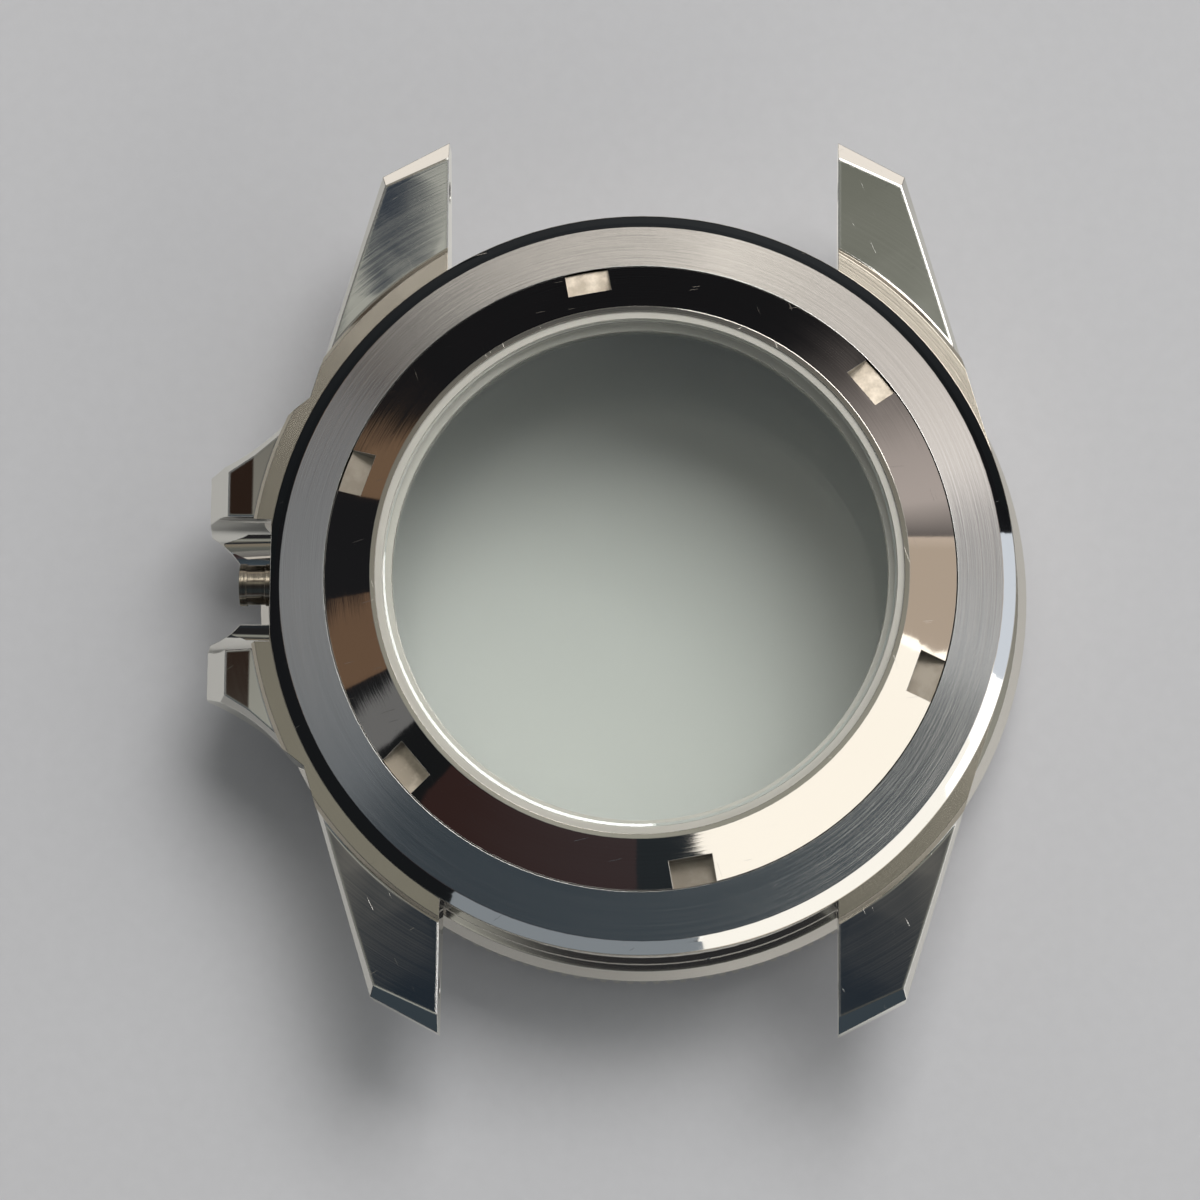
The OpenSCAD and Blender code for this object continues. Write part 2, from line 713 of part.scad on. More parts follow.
module click_spring() {
    tongue_w_share = 0.8;
    tongue_w = (spring_r - spring_mid_r) * tongue_w_share;
    climb = bezel_back_z - channel_h + click_spring_t;
    lean = asin((shoulder_z - click_spring_t - climb) / tongue_l);
    color("lightsteelblue") {
        difference() {
            ring(spring_in_r, spring_r, shoulder_z - click_spring_t, shoulder_z);
            click_pins(running_gap);
            // window that the tongue is bent out of
            rotate(-90) translate([spring_mid_r, -tongue_l / 2, 0])
                cube([reach, tongue_l - running_gap, reach]);
        }
        rotate(-90) translate([spring_mid_r + running_gap, tongue_l / 2 + running_gap, shoulder_z])
            rotate([lean, 0, 0]) translate([0, -tongue_l, -click_spring_t])
                cube([tongue_w, tongue_l, click_spring_t]);
    }
}

module click_spring_pins() {
    color("silver") click_pins(0);
}

// Wrench notch, open to the edge of the ring
module notch() {
    translate([back_r - notch_l, -notch_w / 2, back_edge_z - notch_depth]) cube([reach, notch_w, reach]);
}

module case_back_ring() {
    color("silver") rotate(back_angle) difference() {
        rotate_extrude() polygon([
            [ledge_r, ledge_top_z - ledge_t], [thread_in_r, ledge_top_z - ledge_t],
            [thread_in_r, thread_end_z], [thread_r - edge_bevel, thread_end_z],
            [thread_r, thread_end_z + edge_bevel], [thread_r, flange_under_z],
            [back_r, flange_under_z], [back_r, back_edge_z], [back_in_r + edge_bevel, back_rim_z],
            [back_in_r, back_rim_z], [back_in_r, ledge_top_z], [ledge_r, ledge_top_z]]);
        for (i = [0 : notches - 1]) rotate(i * 360 / notches) notch();
        for (z = [thread_end_z + thread_pitch : thread_pitch : flange_under_z - back_seal_h])
            thread_groove(thread_r, z, -1);
    }
}

module back_glass() {
    r = back_in_r - back_gasket_t - rest_gap;
    color("lightcyan", 0.4) rotate_extrude() polygon([
        [0, glass_z], [r, glass_z], [r, glass_top_z - edge_bevel / 2],
        [r - edge_bevel / 2, glass_top_z], [0, glass_top_z]]);
}

module back_glass_gasket() {
    wall_r = back_in_r - back_gasket_t;
    color("whitesmoke") rotate_extrude() polygon([
        [ledge_r + rest_gap, ledge_top_z], [back_in_r, ledge_top_z],
        [back_in_r, glass_top_z], [wall_r, glass_top_z], [wall_r, glass_z - rest_gap],
        [ledge_r + rest_gap, glass_z - rest_gap]]);
}

module back_seal() {
    mid_r = (thread_r + back_r) / 2;
    color("#202020") intersection() {
        translate([0, 0, shelf_z + (back_seal_h + rest_gap) / 2])
            rotate_extrude() translate([mid_r, 0]) circle(d = back_seal_t);
        ring(thread_r, back_r, shelf_z + rest_gap, flange_under_z);
    }
}

middle_case();
crown_tube();
tube_seal();
front_crystal();
crystal_gasket();
chapter_ring();
bezel_ring();
bezel_insert();
insert_adhesive();
insert_marks();
pearl_cup();
luminous_pearl();
bezel_slip_ring();
bezel_retaining_wire();
click_spring();
click_spring_pins();
case_back_ring();
back_glass();
back_glass_gasket();
back_seal();
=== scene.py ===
# %% [markdown]
# # An empty diver's watch case, dressed on its CAD frame
#
# The case lies on its front crystal with its screwed back up. Every solid of it comes from the
# CAD model, so this lesson is about light and finish: steel that is brushed in one place and
# polished in the next, mineral glass, nylon, rubber, anodised aluminium and paint.
#
# The CAD model is loaded first, as a fixed frame that nothing moves.

# %% Load the frame
import math
import bpy
from mathutils import Matrix, Vector


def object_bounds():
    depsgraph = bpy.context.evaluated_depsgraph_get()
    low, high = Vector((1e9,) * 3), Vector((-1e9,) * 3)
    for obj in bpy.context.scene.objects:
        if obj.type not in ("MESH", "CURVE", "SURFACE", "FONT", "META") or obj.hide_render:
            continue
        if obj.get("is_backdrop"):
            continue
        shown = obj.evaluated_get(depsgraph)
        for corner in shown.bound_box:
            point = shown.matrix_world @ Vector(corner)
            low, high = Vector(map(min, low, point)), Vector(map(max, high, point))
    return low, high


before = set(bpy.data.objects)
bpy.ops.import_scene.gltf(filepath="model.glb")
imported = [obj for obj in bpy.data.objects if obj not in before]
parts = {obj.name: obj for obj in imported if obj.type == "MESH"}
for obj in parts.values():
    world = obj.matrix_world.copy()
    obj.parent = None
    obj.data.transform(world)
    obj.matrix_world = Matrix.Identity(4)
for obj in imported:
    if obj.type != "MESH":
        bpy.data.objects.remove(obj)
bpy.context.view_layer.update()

MM = 0.001

# %% [markdown]
# ## Small helpers
#
# Colours are written as sRGB hex values, the way a paint chart gives them, and Blender works
# in linear light, so one function turns one into the other. Another adds a node with its
# settings and its links in one line, which keeps each recipe short enough to read.

# %% Colour and node helpers
def colour(code):
    """Linear RGBA of an sRGB hex value."""
    shares = [int(code[i:i + 2], 16) / 255 for i in (1, 3, 5)]
    return [c / 12.92 if c <= 0.04045 else ((c + 0.055) / 1.055) ** 2.4 for c in shares] + [1.0]


def add(tree, kind, feeds=None, out=0, stops=None, **settings):
    """Adds a node with its settings and colour stops, feeds its inputs with sockets or plain
    values, and gives one output."""
    node = tree.nodes.new("ShaderNode" + kind)
    for name, value in settings.items():
        setattr(node, name, value)
    for name, value in (feeds or {}).items():
        if isinstance(value, bpy.types.NodeSocket):
            tree.links.new(value, node.inputs[name])
        else:
            node.inputs[name].default_value = value
    if stops:
        marks = node.color_ramp.elements
        for mark, (spot, code) in zip(marks, (stops[0], stops[-1])):
            mark.position, mark.color = spot, colour(code)
        for spot, code in stops[1:-1]:
            marks.new(spot).color = colour(code)
    return node.outputs[out]


def blank(name):
    """An empty material and its tree."""
    material = bpy.data.materials.new(name)
    material.use_nodes = True
    material.node_tree.nodes.clear()
    return material, material.node_tree


def show(tree, shader):
    """Sends a shader to the surface of the material or the world."""
    kind = "OutputWorld" if any(n.type == "BACKGROUND" for n in tree.nodes) else "OutputMaterial"
    out = tree.nodes.new("ShaderNode" + kind)
    tree.links.new(shader, out.inputs["Surface"])


def dress(material, *names):
    """Gives a material to CAD nodes, without touching their meshes."""
    for name in names:
        piece = parts[name]
        while len(piece.material_slots) < 1:
            piece.data.materials.append(None)
        for slot in piece.material_slots:
            slot.link = "OBJECT"
            slot.material = material
    print(material.name, "on", ", ".join(names))


print("the grey #808080 is", round(colour("#808080")[0], 3), "in linear light")

# %% [markdown]
# ## Camera
#
# The photograph looks down on the back of the case, a little from the side of the lower lugs,
# with a long lens. The numbers come from fitting the round edges of the case: the circles of
# the collar, the back ring and the glass shift apart under the tilt, and that shift gives the
# tilt and the distance.

# %% Place the camera
PITCH, YAW, ROLL = (math.radians(a) for a in (9.49, 1.705, 0.454))
DISTANCE = 242.9 * MM
TARGET = Vector((-2.087, -0.776, 8.0)) * MM
LENS = 143.3

away = Vector((math.sin(YAW) * math.cos(PITCH), -math.sin(PITCH), math.cos(YAW) * math.cos(PITCH)))
right = Vector((0, 1, 0)).cross(away).normalized()
up = away.cross(right)
right, up = (right * math.cos(ROLL) + up * math.sin(ROLL), up * math.cos(ROLL) - right * math.sin(ROLL))
camera = bpy.data.objects.new("camera", bpy.data.cameras.new("camera"))
camera.data.lens = LENS
camera.data.sensor_width = 36
camera.data.clip_start = 0.01
turned_to = Matrix((right, up, away)).transposed().to_4x4()
camera.matrix_world = Matrix.Translation(TARGET + away * DISTANCE) @ turned_to
bpy.context.scene.collection.objects.link(camera)
bpy.context.scene.camera = camera
print("camera at", [round(v / MM, 1) for v in camera.location], "mm")

# %% [markdown]
# ## Floor and backdrop
#
# A sheet of pale paper that lies flat under the case and rises gently far behind it. It is one
# outline turned round the upright axis, so it looks the same from every side.

# %% Paper sweep
FLAT, FAR, RISE = 0.55, 1.5, 0.24
FLAT_RINGS, RISING_RINGS, SIDES = (0.02, 0.1, 0.3), 16, 96
PAPER_GAP = 0.02 * MM


def paper_outline():
    """Radius and height of each ring of the paper, from the inside outwards: flat, then a gentle rise."""
    shares = [i / RISING_RINGS for i in range(1, RISING_RINGS + 1)]
    rising = [(FLAT + (FAR - FLAT) * share, RISE * share * share) for share in shares]
    return [(radius, 0.0) for radius in (*FLAT_RINGS, FLAT)] + rising


def turned_sheet(name, outline, sides):
    """A smooth sheet turned from rings around the upright axis, closed in the middle."""
    corners = [2 * math.pi * i / sides for i in range(sides)]
    verts = [(r * math.cos(a), r * math.sin(a), z) for r, z in outline for a in corners] + [(0, 0, 0)]
    faces = []
    for k in range((len(outline) - 1) * sides):
        after = k + 1 if (k + 1) % sides else k + 1 - sides
        faces.append((k, k + sides, after + sides, after))
    faces += [(i, (i + 1) % sides, len(verts) - 1) for i in range(sides)]
    mesh = bpy.data.meshes.new(name)
    mesh.from_pydata(verts, [], faces)
    mesh.polygons.foreach_set("use_smooth", [True] * len(mesh.polygons))
    made = bpy.data.objects.new(name, mesh)
    bpy.context.scene.collection.objects.link(made)
    return made


floor = turned_sheet("paper_sweep", paper_outline(), SIDES)
floor.location.z = -PAPER_GAP
floor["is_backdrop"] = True
print("paper sweep:", len(floor.data.polygons), "faces")

# %% [markdown]
# ## Paper
#
# Uncoated paper is matte, with a faint mark that the felts of the paper machine leave in it.
# The table is darker beyond the upper lugs. Only the polished steel shows that, so the paper's
# colour asks Light Path what kind of ray has met it.

# %% Uncoated paper
FELT_MARK, CLOUDS_PER_METRE = 0.8 * MM, 18.0
DARK_FROM, DARK_AT = 0.06, 0.1

paper, tree = blank("uncoated_paper")
where = add(tree, "TexCoord", out="Object")
felt = add(tree, "TexNoise", {"Vector": where, "Scale": 1 / FELT_MARK, "Detail": 3.0}, out="Fac")
clouds = add(tree, "TexNoise", {"Vector": where, "Scale": CLOUDS_PER_METRE, "Detail": 2.0}, out="Fac")
clouds = add(tree, "Math", {0: clouds, 1: 0.65}, operation="MULTIPLY")
mottle = add(tree, "Math", {0: felt, 1: 0.35, 2: clouds}, operation="MULTIPLY_ADD")
tint = add(tree, "ValToRGB", {"Fac": mottle}, out="Color", stops=((0.3, "#C8C9CE"), (0.7, "#CECFD4")))
# painted light: bounced light and the view through the glass find the paper brighter than the camera does,
# which lifts the shade inside the case
path = add(tree, "LightPath").node.outputs
tint = add(tree, "Mix", {"Factor": path["Is Camera Ray"], "A": colour("#E6E6E5"), "B": tint}, out="Result",
           data_type="RGBA")
beyond = add(tree, "SeparateXYZ", {"Vector": where}, out="Y")
dark = add(tree, "MapRange", {"Value": beyond, "From Min": DARK_FROM, "From Max": DARK_AT})
mirrored = add(tree, "Math", {0: path["Is Glossy Ray"], 1: path["Is Reflection Ray"]}, operation="MULTIPLY")
dark = add(tree, "Math", {0: dark, 1: mirrored}, operation="MULTIPLY")
tint = add(tree, "Mix", {"Factor": dark, "A": tint, "B": colour("#1D232A")}, out="Result", data_type="RGBA")
grain = add(tree, "Bump", {"Height": felt, "Strength": 0.15, "Distance": 0.05 * MM}, out="Normal")
show(tree, add(tree, "BsdfPrincipled", {"Base Color": tint, "Roughness": 0.85, "Specular IOR Level": 0.25,
                                        "Normal": grain}))
floor.data.materials.append(paper)
print("paper:", paper.name, "with a felt mark of", FELT_MARK / MM, "mm")

# %% [markdown]
# ## Windows and furniture
#
# Polished steel has no look of its own: it shows the room. Each facet of the case mirrors one
# direction, so a lamp stands where a facet looks. Daylight comes from wide windows at the lower
# right, beyond the upper lugs and on the right, and dim warm furniture stands on the left.

# %% Soft boxes
# name, azimuth and elevation in degrees, width and height in degrees, radiance, colour
LAMPS = (
    ("key_window", 62, 56, (34, 30), 6.0, "#FFFDF9"),
    ("low_window", -42, 24.5, (70, 20), 1.55, "#FFFBF2"),
    ("top_window", 55, 33, (50, 24), 0.6, "#FFF7EC"),
    ("top_pane_left", 105, 34, (50, 22), 0.24, "#FFF7EC"),
    ("top_sill", 90, 21, (66, 6), 1.25, "#FFF7EC"),
    ("right_window", 14, 43, (36, 22), 0.6, "#FAFBFC"),
    ("low_wall", -103, 19, (44, 9), 0.4, "#E6F1FA"),
    ("side_fill", 6, 23, (22, 12), 0.7, "#F3E0CC"),
    ("low_side", -6, 13, (46, 9), 1.1, "#EEF5FF"),
    ("warm_cupboard", 143, 18, (24, 9), 0.34, "#C9A27E"),
    ("warm_shelf", 183, 23, (16, 8), 0.32, "#C49B78"),
    ("left_wall", 172, 36, (60, 24), 0.22, "#F0F2F5"),
    ("brown_door", 243, 29, (44, 11), 0.15, "#7F4A3F"),
)
LAMP_AWAY = 1.2


def softbox(name, azimuth, elevation, size, radiance, tint):
    """An area lamp that faces the case. Azimuth is counted from +X towards +Y, and size is its width and
    height as seen from the case."""
    wide, high = (2 * LAMP_AWAY * math.tan(math.radians(s / 2)) for s in size)
    lamp = bpy.data.lights.new(name, "AREA")
    lamp.shape, lamp.size, lamp.size_y = "RECTANGLE", wide, high
    lamp.energy = radiance * math.pi * wide * high
    lamp.color = colour(tint)[:3]
    made = bpy.data.objects.new(name, lamp)
    a, e = math.radians(azimuth), math.radians(elevation)
    out = Vector((math.cos(a) * math.cos(e), math.sin(a) * math.cos(e), math.sin(e)))
    made.location = out * LAMP_AWAY
    made.rotation_mode = "QUATERNION"
    made.rotation_quaternion = out.to_track_quat("Z", "Y")
    made.visible_camera = False
    bpy.context.scene.collection.objects.link(made)
    print("softbox", name, "at", azimuth, elevation)


for lamp in LAMPS:
    softbox(*lamp)

# %% [markdown]
# ## The room behind the windows
#
# The world is a dim room: dark near the table, grey on the walls and pale at the ceiling. The
# flat backs of the lugs look almost straight up, so the ceiling has the few marks that they
# mirror. X, Y and Z are the direction of a ray here, each from -1 to 1.

# %% Walls
world = bpy.data.worlds.new("dim_room")
world.use_nodes = True
tree = world.node_tree
tree.nodes.clear()
look = add(tree, "TexCoord", out="Generated")
axes = add(tree, "SeparateXYZ", {"Vector": look}).node.outputs


def into(tree, axes, **limits):
    """How far a direction reaches from the first limit to the second, from 0 to 1, on all named axes."""
    share = 1.0
    for axis, (low, high) in limits.items():
        reach = add(tree, "MapRange", {"Value": axes[axis], "From Min": low, "From Max": high})
        share = add(tree, "Math", {0: share, 1: reach}, operation="MULTIPLY")
    return share


room = add(tree, "ValToRGB", {"Fac": axes["Z"]}, out="Color", stops=(
    (0.08, "#19191B"), (0.36, "#232427"), (0.56, "#77797B"), (0.9, "#96998F"), (1.0, "#A9ABA0")))
# behind the lower lugs the room is darker, and slate blue above the furniture
slate = add(tree, "Mix", {"Factor": into(tree, axes, Z=(0.44, 0.62)), "A": colour("#1D1F21"),
                          "B": colour("#47525A")}, out="Result", data_type="RGBA")
room = add(tree, "Mix", {"Factor": into(tree, axes, Y=(-0.32, 0.16)), "A": slate, "B": room}, out="Result",
           data_type="RGBA")
# a pale wall on the right fades away beyond the upper lugs
wall = into(tree, axes, X=(0.3, 0.85), Y=(0.25, 0.4), Z=(0.2, 0.27))
room = add(tree, "Mix", {"Factor": wall, "A": room, "B": colour("#CCC3C0")}, out="Result", data_type="RGBA")
print("walls of", world.name)

# %% Ceiling
# it is brightest over the crown side
zenith = add(tree, "Mix", {"Factor": into(tree, axes, X=(-0.06, 0.02)), "A": colour("#CFD0C6"),
                           "B": colour("#85877C")}, out="Result", data_type="RGBA")
room = add(tree, "Mix", {"Factor": into(tree, axes, Z=(0.96, 0.98)), "A": room, "B": zenith}, out="Result",
           data_type="RGBA")
# it darkens towards a beam beyond the upper lugs, which the lower lugs mirror
beam = add(tree, "ValToRGB", {"Fac": axes["Y"]}, out="Color", stops=(
    (0.12, "#B9BAB0"), (0.19, "#8C8980"), (0.216, "#7C7A75"), (0.233, "#27313B"), (0.29, "#27313B"),
    (0.34, "#B3A998")))
high = into(tree, axes, Z=(0.82, 0.9), Y=(0.1, 0.13))
room = add(tree, "Mix", {"Factor": high, "A": room, "B": beam}, out="Result", data_type="RGBA")
# three dark things overhead, each with its direction, inner and outer radius and colour: the upper left
# lug mirrors one, level faces that are seen from above another, and the crown guards the third
FOR_LUG = ((-0.073, 0.102, 0.993), 0.008, 0.011, "#1F2E42")
FOR_LEVEL_FACES = ((0.03, -0.25, 0.968), 0.22, 0.32, "#38383A")
FOR_GUARDS = ((-0.41, 0.185, 0.893), 0.04, 0.1, "#33261F")
for towards, inner, outer, code in (FOR_LUG, FOR_LEVEL_FACES, FOR_GUARDS):
    apart = add(tree, "VectorMath", {0: look, 1: towards}, out="Value", operation="DISTANCE")
    body = add(tree, "MapRange", {"Value": apart, "From Min": inner, "From Max": outer, "To Min": 1.0,
                                  "To Max": 0.0})
    room = add(tree, "Mix", {"Factor": body, "A": room, "B": colour(code)}, out="Result", data_type="RGBA")
show(tree, add(tree, "Background", {"Color": room, "Strength": 1.0}))
bpy.context.scene.world = world
bpy.context.scene.view_settings.view_transform = "Standard"
print("world:", world.name, "with", len(tree.nodes), "nodes")

# %% [markdown]
# ## Where am I on the case?
#
# The middle case is one piece of steel with four finishes, so its material has to know where it
# is. The CAD node sits at the frame's origin, so its object coordinates are the real place in
# metres: from them come the radius from the case axis and the height, both in millimetres.
#
# The noises are fed with millimetres too, so the scale of a noise is the number of its clouds in
# a millimetre. Lines and grains that are finer than the camera can resolve are drawn as coarse
# as they need to show, and a comment says so each time.

# %% Place readers
MEAN_RADIUS = 18.0


def place(tree):
    """Height, radius and the direction away from the axis, from the real place in millimetres."""
    metres = add(tree, "TexCoord", out="Object")
    spot = add(tree, "VectorMath", {0: metres, "Scale": 1 / MM}, operation="SCALE")
    axes = add(tree, "SeparateXYZ", {"Vector": spot}).node.outputs
    flat = add(tree, "CombineXYZ", {"X": axes["X"], "Y": axes["Y"], "Z": 0.0})
    radius = add(tree, "VectorMath", {0: flat}, out="Value", operation="LENGTH")
    outward = add(tree, "VectorMath", {0: flat}, operation="NORMALIZE")
    return {"spot": spot, "z": axes["Z"], "radius": radius, "outward": outward}


def within(tree, value, low, high, soft=0.02):
    """1 where a value lies between two limits, with a soft step at each."""
    rising = add(tree, "MapRange", {"Value": value, "From Min": low - soft, "From Max": low + soft})
    falling = add(tree, "MapRange", {"Value": value, "From Min": high - soft, "From Max": high + soft,
                                     "To Min": 1.0, "To Max": 0.0})
    return add(tree, "Math", {0: rising, 1: falling}, operation="MULTIPLY")


def ring_streaks(tree, at, long_mm, fine_mm, detail=3.0):
    """Streaks that run round the axis, so long and so fine, as turning or ring brushing leaves them."""
    near = add(tree, "VectorMath", {0: at["outward"], "Scale": MEAN_RADIUS / long_mm}, operation="SCALE")
    across = add(tree, "Math", {0: at["radius"], 1: at["z"]}, operation="ADD")
    across = add(tree, "Math", {0: across, 1: fine_mm}, operation="DIVIDE")
    lift = add(tree, "CombineXYZ", {"X": across, "Y": 0.0, "Z": across})
    spot = add(tree, "VectorMath", {0: near, 1: lift}, operation="ADD")
    grain = {"Vector": spot, "Scale": 1.0, "Detail": detail, "Roughness": 0.6}
    return add(tree, "TexNoise", grain, out="Fac")


def hairlines(tree, at, turn_deg, long_mm, fine_mm, rare):
    """Fine straight scratches in one direction: the rare peaks of a noise drawn out into threads."""
    aimed = add(tree, "VectorRotate", {"Vector": at["spot"], "Angle": math.radians(turn_deg)},
                rotation_type="Z_AXIS")
    drawn = add(tree, "VectorMath", {0: aimed, 1: (1 / long_mm, 1 / fine_mm, 0.0)}, operation="MULTIPLY")
    field = add(tree, "TexNoise", {"Vector": drawn, "Scale": 1.0, "Detail": 0.0}, out="Fac")
    return add(tree, "MapRange", {"Value": field, "From Min": rare, "From Max": rare + 0.05})


def crossed_hairlines(tree, at, *sets):
    """Two sets of hairlines that cross, as dusting and tools leave them."""
    first, second = (hairlines(tree, at, *one) for one in sets)
    return add(tree, "Math", {0: first, 1: second}, operation="MAXIMUM")


def standing(tree, pattern, deep_mm, edges=None):
    """The surface's normal where a pattern stands so many millimetres high, over rounded edges if any."""
    height = add(tree, "Math", {0: pattern, 1: deep_mm * MM}, operation="MULTIPLY")
    feeds = {"Height": height, "Strength": 1.0, "Distance": 1.0}
    if edges is not None:
        feeds["Normal"] = edges
    return add(tree, "Bump", feeds, out="Normal")


print("place readers ready, streaks measured at a radius of", MEAN_RADIUS, "mm")

# %% [markdown]
# ## Stainless steel 316L
#
# The case is machined from 316L bar. Its colour is a warm pale grey, and the eye tells most of its
# finishes apart only by how they smear the reflections: the bevels and flanks are buffed to a
# mirror, the collar round the back is ring brushed to a satin, and the lug backs are buffed over
# faint turned arcs. The step beside the collar is turned, and its steel carries painted shade: a
# darker, browner tint. One material mixes them by place, so the edges between two finishes are as
# crisp as on the real case.

# %% Where each finish lies
steel, tree = blank("steel_316L_brushed_and_polished")
at = place(tree)


def zone(tree, at, **limits):
    """1 where each named reading of the place lies between its limits."""
    share = 1.0
    for reading, (low, high) in limits.items():
        share = add(tree, "Math", {0: share, 1: within(tree, at[reading], low, high)}, operation="MULTIPLY")
    return share


# radii and heights in millimetres, just past the edges of each surface of the CAD model
facing = add(tree, "SeparateXYZ", {"Vector": add(tree, "NewGeometry", out="Normal")}, out="Z")
on_collar = zone(tree, at, radius=(15.8, 18.3), z=(9.65, 11.2))
on_step = zone(tree, at, radius=(18.95, 20.05), z=(8.8, 9.25))
off_step = add(tree, "Math", {0: 1.0, 1: on_step}, operation="SUBTRACT")
level = within(tree, facing, 0.93, 2.0, 0.01)
on_backs = add(tree, "Math", {0: level, 1: zone(tree, at, z=(7.7, 9.7))}, operation="MULTIPLY")
on_lugs = add(tree, "Math", {0: on_backs, 1: off_step}, operation="MULTIPLY")
inside = zone(tree, at, radius=(0.0, 15.6))
print("finishes on", steel.name, "placed with", len(tree.nodes), "nodes")

# %% Brushed and polished middle case
# the grooves of a 240 grit belt are near 0.03 mm wide and are drawn 0.05 mm wide, so that they show;
# the feed marks of turning are near 0.1 mm apart and are drawn 0.2 mm apart
brush = ring_streaks(tree, at, 9.0, 0.05)
turned = ring_streaks(tree, at, 60.0, 0.2, 2.0)
wear = add(tree, "TexNoise", {"Vector": at["spot"], "Scale": 0.35, "Detail": 4.0}, out="Fac")
# direction in degrees, length and width in millimetres, and how rare they are
scratch = crossed_hairlines(tree, at, (64, 1.6, 0.03, 0.84), (-31, 1.3, 0.03, 0.85))

# each finish adds its own roughness where it lies
rough = add(tree, "Math", {0: wear, 1: 0.04, 2: 0.01}, operation="MULTIPLY_ADD")
satin = add(tree, "Math", {0: brush, 1: 0.14, 2: 0.11}, operation="MULTIPLY_ADD")
arcs = add(tree, "Math", {0: turned, 1: 0.03}, operation="MULTIPLY")
for finish, more in ((on_collar, satin), (on_lugs, arcs), (on_step, 0.17), (inside, 0.2)):
    rough = add(tree, "Math", {0: finish, 1: more, 2: rough}, operation="MULTIPLY_ADD")

# the grooves of the brush stand a few thousandths of a millimetre high, and so does what turning left
brushed_mm = add(tree, "Math", {0: on_collar, 1: 0.004}, operation="MULTIPLY")
turned_mm = add(tree, "Math", {0: on_lugs, 1: 0.00025}, operation="MULTIPLY")
turned_mm = add(tree, "Math", {0: on_step, 1: 0.002, 2: turned_mm}, operation="MULTIPLY_ADD")
relief = 0.0
for pattern, deep_mm in ((brush, brushed_mm), (turned, turned_mm), (scratch, -0.0007)):
    relief = add(tree, "Math", {0: pattern, 1: deep_mm, 2: relief}, operation="MULTIPLY_ADD")

# colours: bare steel, the brushed collar in two tones, and the step, tinted darker and browner as painted
# shade
pale = add(tree, "Mix", {"Factor": brush, "A": colour("#B2B2B1"), "B": colour("#D8D7D5")}, out="Result",
           data_type="RGBA")
tint = colour("#CDCCCA")
for finish, tone in ((on_collar, pale), (on_step, colour("#A29A8C"))):
    share = add(tree, "Math", {0: finish, 1: 0.8}, operation="MULTIPLY")
    tint = add(tree, "Mix", {"Factor": share, "A": tint, "B": tone}, out="Result", data_type="RGBA")

# buffing rolls the edges of the lug backs off, and the step is shaded as if turned a little conical
rolled = add(tree, "Math", {0: on_lugs, 1: 0.15 * MM, 2: 0.05 * MM}, operation="MULTIPLY_ADD")
edges = add(tree, "Bevel", {"Radius": rolled}, samples=8)
slope = add(tree, "Math", {0: on_step, 1: 0.03}, operation="MULTIPLY")
lean = add(tree, "VectorMath", {0: at["outward"], "Scale": slope}, operation="SCALE")
edges = add(tree, "VectorMath", {0: edges, 1: lean}, operation="ADD")
edges = add(tree, "VectorMath", {0: edges}, operation="NORMALIZE")
show(tree, add(tree, "BsdfPrincipled", {
    "Base Color": tint, "Metallic": 1.0, "Roughness": rough, "Normal": standing(tree, relief, 1.0, edges),
    "Anisotropic": 0.55, "Tangent": add(tree, "Tangent", direction_type="RADIAL", axis="Z")}))
dress(steel, "middle_case")

# %% [markdown]
# ## Polished back ring
#
# The back ring is turned from the same steel and buffed on a soft wheel. It is nearly a mirror,
# and what makes it real are the faint hairlines that a duster leaves, a few deeper scratches
# where a case wrench slipped, and the milled floors of its notches, which stay matte.

# %% Milled notches, three of them darker
DARKER_NOTCHES = (160, 280, 340)

mirror, tree = blank("steel_316L_mirror_polished")
at = place(tree)
facing = add(tree, "SeparateXYZ", {"Vector": add(tree, "NewGeometry", out="Normal")}, out="Z")
level = within(tree, facing, 0.97, 2.0, 0.01)
milled = add(tree, "Math", {0: level, 1: zone(tree, at, radius=(14.3, 16.0))}, operation="MULTIPLY")
stain = add(tree, "TexNoise", {"Vector": at["spot"], "Scale": 0.9, "Detail": 4.0, "Roughness": 0.6},
            out="Fac")
stain = add(tree, "MapRange", {"Value": stain, "From Min": 0.42, "From Max": 0.62})
floor_tint = add(tree, "Mix", {"Factor": stain, "A": colour("#B8AD9F"), "B": colour("#DED3C5")},
                 out="Result", data_type="RGBA")
# three of the notches are tinted darker than the others
for turn_deg in DARKER_NOTCHES:
    towards = (math.cos(math.radians(turn_deg)), math.sin(math.radians(turn_deg)), 0.0)
    aligned = add(tree, "VectorMath", {0: at["outward"], 1: towards}, out="Value", operation="DOT_PRODUCT")
    here = add(tree, "Math", {0: aligned, 1: 0.95}, operation="GREATER_THAN")
    darkening = add(tree, "Math", {0: here, 1: 0.75}, operation="MULTIPLY")
    floor_tint = add(tree, "Mix", {"Factor": darkening, "A": floor_tint, "B": colour("#8C857C")}, out="Result",
                     data_type="RGBA")
print("darker notches at", DARKER_NOTCHES, "degrees")

# %% Mirror-polished ring
# buffing lines are finer than 0.01 mm and are drawn 0.04 mm wide, so that they show
hairs = ring_streaks(tree, at, 14.0, 0.04)
cuts = crossed_hairlines(tree, at, (70, 2.4, 0.035, 0.84), (-12, 1.6, 0.03, 0.85))
threaded = zone(tree, at, z=(8.0, 10.2))
rough = add(tree, "Math", {0: hairs, 1: 0.05, 2: 0.02}, operation="MULTIPLY_ADD")
for finish, more in ((milled, 0.3), (threaded, 0.2)):
    rough = add(tree, "Math", {0: finish, 1: more, 2: rough}, operation="MULTIPLY_ADD")
relief = add(tree, "Math", {0: cuts, 1: -0.001}, operation="MULTIPLY")
relief = add(tree, "Math", {0: hairs, 1: 0.0006, 2: relief}, operation="MULTIPLY_ADD")
tint = add(tree, "Mix", {"Factor": milled, "A": colour("#CFCBC5"), "B": floor_tint}, out="Result",
           data_type="RGBA")
